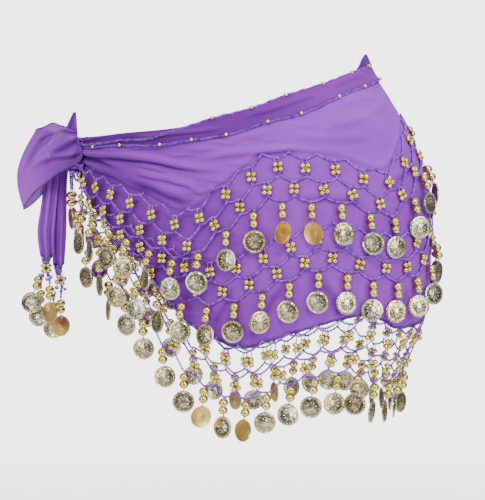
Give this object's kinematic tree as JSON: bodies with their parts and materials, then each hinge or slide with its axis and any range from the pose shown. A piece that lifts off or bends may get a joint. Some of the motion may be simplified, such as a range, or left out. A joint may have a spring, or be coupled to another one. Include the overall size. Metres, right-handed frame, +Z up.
{
  "type": "belly dance hip scarf",
  "caption": "Belly dance hip scarf of violet chiffon, tied at one hip, with tiers of crochet net, gilt bead flowers and coin fringes, in its worn form.",
  "frame": {"origin": "the middle of the hollow at the waist fold's level, where the wearer's hips hold the scarf", "axes": "+Z up, -Y the wearer's front, +X the wearer's left"},
  "size_m": [0.4009, 0.282, 0.3463],
  "materials": {
    "chiffon": "thin crinkled violet chiffon, matt with a soft sheen",
    "crochet_cord": "hand crocheted violet yarn",
    "coin_metal": "pressed pale gilt coins, lightly aged",
    "bead_metal": "polished gold coloured beads"
  },
  "bodies": {
    "root": {"wrap": "chiffon", "waist_fold": "chiffon", "net_top_front": "crochet_cord", "net_top_back": "crochet_cord", "net_middle_front": "crochet_cord", "net_middle_back": "crochet_cord", "net_hem_front": "crochet_cord", "net_hem_back": "crochet_cord", "coins_top_front": "coin_metal", "coins_top_back": "coin_metal", "coins_middle_front": "coin_metal", "coins_middle_back": "coin_metal", "coins_hem_front": "coin_metal", "coins_hem_back": "coin_metal", "knot": "chiffon", "knot_tip": "chiffon", "bow": "chiffon", "tail_outer": "chiffon", "tail_inner": "chiffon", "coins_tail_outer": "coin_metal", "coins_tail_inner": "coin_metal"}
  },
  "joints": []
}
